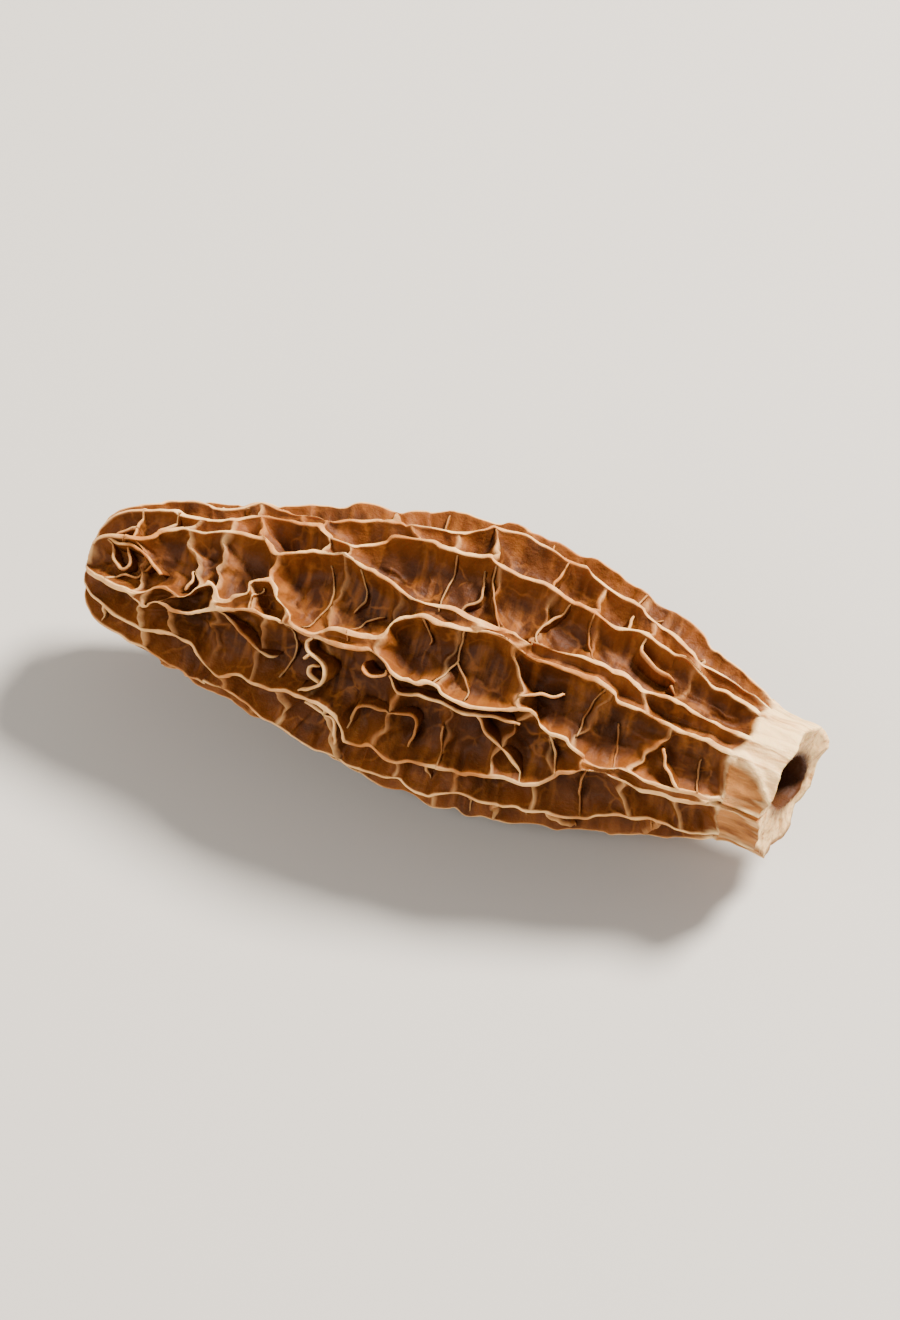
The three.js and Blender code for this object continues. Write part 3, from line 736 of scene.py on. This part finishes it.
# The stem's cream darkens to the fibre tone as painted shade in its grooves and on its lower side
strands = mixed(scaled(reading("deep"), 0.12, 0.95), STEM_CREAM, fibre_tone)
streaked = mixed(scaled(mottle(1900, 4, 0.6, 10.0), 0.48, 0.74), strands, fibre_tone)
whole = mixed(reading("hollow"), mixed(reading("stem"), rims, streaked), HOLLOW_BROWN_WITH_PAINTED_SHADE)
links.new(whole, shader.inputs["Base Color"])
shader.inputs["Roughness"].default_value = 0.55
shader.inputs["Specular IOR Level"].default_value = 0.14
shader.inputs["Subsurface Weight"].default_value = 0.12
shader.inputs["Subsurface Radius"].default_value = (1.0, 0.3, 0.08)
shader.inputs["Subsurface Scale"].default_value = 0.0006
bump = nodes.new("ShaderNodeBump")
bump.inputs["Strength"].default_value = 0.6
bump.inputs["Distance"].default_value = 0.00015
links.new(mottle(2600, 4, 0.65), bump.inputs["Height"])
links.new(bump.outputs["Normal"], shader.inputs["Normal"])
body.data.materials.append(flesh)
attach(body, "root")
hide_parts("fruit_body")

# Veins: thin leathery walls and folds that branch from the ridges into the pits, some with a free or curled
# end. They grew from the pits' floors, and are sunk into them. Each is given as the points of (distance from
# the tip, angle) that it passes, its share of a ridge's height, and whether its last end is free.
VEINS = [
    ([(29, 4), (30.2, 0), (31, 0), (31.6, -3)], 0.97, True),
    ([(21.0, 10), (21, 12), (20.5, 14), (19.9, 14), (19.3, 10)], 0.95, True),
    ([(16, 6), (15.7, 9), (16.1, 14), (16.9, 16), (17.3, 21), (16.9, 27), (15.7, 34)], 0.9, False),
    ([(16.1, 14), (15.6, 19)], 0.9, True),
    ([(16.9, 26), (16.2, 24), (16.1, 20), (16.5, 20)], 0.8, True),
    ([(21.2, 12), (22.0, 18), (23.2, 16), (25.1, 16), (26.0, 18), (27.9, 16), (29.6, 17)], 0.85, False),
    ([(19.1, 44), (19.2, 36), (19.6, 32), (20.8, 30), (22.9, 28), (23.3, 33), (22.9, 44)], 0.55, False),
    ([(24.8, -16), (24.7, -5), (24.7, -1), (24.2, 6), (23.9, 10)], 0.3, False),
    ([(24.7, -1), (25.9, 8), (26, 12)], 0.3, False),
    ([(27.0, 17), (27.6, 24), (28.4, 28), (29.9, 37), (30.5, 43)], 0.75, False),
    ([(31.4, 18), (32.1, 27), (32.5, 36)], 0.6, False),
    ([(25.0, 30), (25.0, 37), (25.3, 46)], 0.45, False),
    ([(37.9, 5), (38.3, 14), (38.9, 21), (39.5, 29)], 0.95, False),
    ([(24.1, -20), (24.1, -27), (24.9, -34), (24.6, -46)], 0.35, False),
    ([(25.1, -46), (26.0, -31), (26.8, -19)], 0.45, False),
    ([(23.0, -19), (22.6, -30), (22.8, -47)], 0.2, False),
    ([(29.9, -43), (28.8, -28), (29.4, -20)], 0.5, False),
    ([(31.2, -44), (32.1, -30), (32.6, -21)], 0.4, False),
    ([(34.4, -47), (34.6, -41), (35.3, -38), (36.0, -36), (37.0, -37)], 0.7, True),
    ([(36.9, -33), (37.4, -30)], 0.5, True),
    ([(9.4, 5), (10.1, 11), (11.4, 19), (12.8, 24), (13.6, 24)], 0.6, True),
    ([(1.4, -23), (2.2, -20), (3.2, -20), (4.2, -15), (5.1, -8), (5.6, -3)], 0.85, False),
    ([(2.6, -21), (3.1, -12), (3.2, -4), (2.7, 0), (2.1, -5), (1.8, -14), (1.5, -22)], 0.6, False),
    ([(1.3, -25), (2.0, -36), (2.9, -38), (2.8, -28), (2.5, -22)], 0.65, False),
    ([(2.9, -38), (3.0, -54), (3.6, -60), (4.4, -69)], 0.7, False),
    ([(2.1, 13), (2.9, 5), (3.8, 4), (4.3, -2), (4.7, -12)], 0.5, False),
    ([(4.3, -30), (4.3, -40), (5.0, -48), (5.4, -55)], 0.6, False),
    ([(7.2, 2), (7.6, -5), (7.2, -12)], 0.75, True),
    ([(2.2, 34), (1.9, 48), (2.1, 62)], 0.7, False),
    ([(33.6, -13), (33.4, -4), (33.2, 4), (33.0, 16)], 0.3, False),
    ([(12.0, -12), (11.6, -4), (11.7, 2)], 0.6, False),
    ([(16.3, 38), (17.9, 40), (18.3, 45), (18.4, 56)], 0.9, False),
    ([(15.3, -33), (15.9, -15), (15.2, 3)], 0.2, False),
    ([(17.6, -31), (17.9, -20), (17.4, -12)], 0.25, True),
    ([(18.2, 2), (18.3, -8), (19.4, -14)], 0.2, True),
    ([(22.2, -15), (22.9, -9), (22.8, -6)], 0.35, True),
    ([(40.5, 30), (40.3, 16), (40.2, 4)], 0.15, False),
    ([(35.6, 27), (35.5, 14), (35.2, 2)], 0.15, False),
    ([(14.2, 4), (14.6, 18), (14.1, 36)], 0.2, False),
    ([(28.6, -67), (28.4, -56), (28.8, -44)], 0.6, False),
    ([(33.2, -61), (33.3, -52), (33.6, -45)], 0.6, False),
    ([(24.6, 61), (24.2, 54), (24.8, 47)], 0.5, False),
    ([(34.2, 60), (34.0, 45), (34.4, 31)], 0.4, False),
]
VEIN_STEP = 0.15
VEIN_SUNK = 0.35
VEIN_TAPER = 0.5
VEIN_WANDER = 0.06
WHOLE_WAY_SHARE = 0.7
FORKED_SHARE = 0.5
LEAST_GAP = 2.6
MOST_GAP = 5.5

# Like ones on the hidden side, a few to each column of pits: across it, or out into a pit
for number in range(len(SHOWN_RIDGES) - 1, len(ridges)):
    x = draw(3, 6)
    while x < MARGIN - 3:
        from_angle = along(ridges[number], x)
        span = (along(ridges[(number + 1) % len(ridges)], x) - from_angle) % 360
        if draw(0, 1) < 0.5:
            from_angle, span = from_angle + span, -span
        whole_way = draw(0, 1) < WHOLE_WAY_SHARE
        reach = 1 if whole_way else draw(0.5, 0.8)
        slant = draw(-1.8, 1.8)
        turns = [0, 0.15 * slant + draw(-0.2, 0.2), 0.55 * slant + draw(-0.2, 0.2), slant]
        points = [(x + turns[i], from_angle + span * (0.03 + (reach - 0.06) * i / 3)) for i in range(4)]
        VEINS.append((points, draw(0.3, 0.75) if whole_way else draw(0.3, 0.5), not whole_way))
        if whole_way and draw(0, 1) < FORKED_SHARE:
            fork = (points[2][0] + draw(1.2, 2.4), from_angle + span * draw(0.85, 1))
            VEINS.append(([points[1], ((points[1][0] + fork[0]) / 2, points[2][1]), fork], 0.4, False))
        x += draw(LEAST_GAP, MOST_GAP)

# The section of a vein, as (distance aside, share of the height), with -1 for the sunk foot
VEIN_SECTION = [
    (-0.22, -1), (-0.09, 0.3), (-0.06, 0.75), (-0.09, 0.9), (-0.065, 1.0), (0, 1.04), (0.065, 1.0),
    (0.09, 0.9), (0.06, 0.75), (0.09, 0.3), (0.22, -1),
]
section_aside, section_height = np.array(VEIN_SECTION).T

# The surface under the veins, as its depth by row and angle
surface_tree = kdtree.KDTree(deep.size)
surface_places = zip((true_row * ROW_LENGTH).ravel(), (cap_angle * CAP_ARC_RADIUS).ravel())
for index, (row, turned_by) in enumerate(surface_places):
    surface_tree.insert((row, turned_by, 0), index)
surface_tree.balance()
flat_deep = (deep - crest_wave).ravel()


# The depth of the cap's surface at any row and angle, from the four nearest points
def surface_depth(row, angle):
    depths = []
    for place in zip((row * ROW_LENGTH).ravel(), (angle * CAP_ARC_RADIUS).ravel()):
        found = surface_tree.find_n((*place, 0), 4)
        weights = [1 / (gap + 0.01) for _, _, gap in found]
        depths.append(sum(w * flat_deep[index] for w, (_, index, _) in zip(weights, found)) / sum(weights))
    return np.array(depths).reshape(np.shape(row))


veins = bmesh.new()
for number, (points, height, free_end) in enumerate(VEINS):
    route = [(x, math.radians(angle) * CAP_ARC_RADIUS) for x, angle in points]
    length = sum(math.dist(a, b) for a, b in zip(route[:-1], route[1:]))
    steps = max(6, round(length / VEIN_STEP))
    line = curve_through(route, steps)
    x = line[:, 0] + VEIN_WANDER * lumps(line[:, 1] + 7 * number, line[:, 0], 0.6)
    arc_place = line[:, 1] + VEIN_WANDER * lumps(line[:, 0] + 7 * number, line[:, 1], 0.6)
    angle = math.radians(FACE) + arc_place / CAP_ARC_RADIUS
    row = row_at(x)
    under = surface_depth(row, angle)
    shrink = np.ones(steps + 1)
    if free_end:
        shrink = np.sqrt(np.minimum(1, (np.arange(steps, -1, -1) + 0.3) * length / steps / VEIN_TAPER))
    raised = 0.5 + 0.5 * shrink
    top = pit_depth(row / CAP_ROWS) * (1 - height * raised * (0.95 + 0.05 * lumps(x, arc_place, 0.7)))
    top = np.maximum(np.minimum(top, under - 0.16 * raised), -0.02)
    from_end = np.minimum(np.arange(steps + 1), np.arange(steps, -1, -1)) * length / steps
    on_crest = (1 - smooth(under, 0.15, 0.45)) * (1 - smooth(from_end, 0.1, 0.35))
    top = top + np.maximum(under + 0.03 - top, 0) * on_crest
    broad = (0.45 + 0.55 * shrink) * (0.6 + 0.4 * smooth(under - top, 0.2, 0.9))
    radius = np.maximum(outline_radius(x) - 1, 1.5)
    way = np.gradient(np.stack([row * ROW_LENGTH, angle * radius], axis=1), axis=0)
    way /= np.linalg.norm(way, axis=1, keepdims=True)
    aside = section_aside[None, :] * broad[:, None]
    ring_row = row[:, None] - way[:, 1:] * aside / ROW_LENGTH
    ring_angle = angle[:, None] + way[:, :1] * aside / radius[:, None]
    depth = under[:, None] - section_height[None, :] * (under - top)[:, None]
    foot = section_height < 0
    depth[:, foot] = surface_depth(ring_row[:, foot], ring_angle[:, foot]) + VEIN_SUNK
    place = cap_point(ring_row, ring_angle, depth)
    lit = smooth(section_height[None, :], 0.8, 0.95) * (0.3 + 0.7 * smooth(height, 0.3, 0.9))
    # Their depth darkens the veins' sides with the pits' painted shade
    surface = {
        "crest": np.broadcast_to(lit, depth.shape), "deep": depth / PIT_DEPTH,
        "stem": np.zeros(depth.shape), "hollow": np.zeros(depth.shape),
    }
    closed = {name: np.concatenate([value[:1], value, value[-1:]]) for name, value in surface.items()}
    first_end, last_end = (
        edge.mean(axis=1, keepdims=True).repeat(len(VEIN_SECTION), 1) for edge in (place[:1], place[-1:])
    )
    part = turned(np.concatenate([first_end, place, last_end]), closed)
    veins.from_mesh(part)
    bpy.data.meshes.remove(part)
vein_mesh = bpy.data.meshes.new("pit_veins")
veins.to_mesh(vein_mesh)
veins.free()
pit_veins = shown_piece("pit_veins", vein_mesh)
pit_veins.data.materials.append(flesh)
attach(pit_veins, "root")
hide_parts("fruit_body")
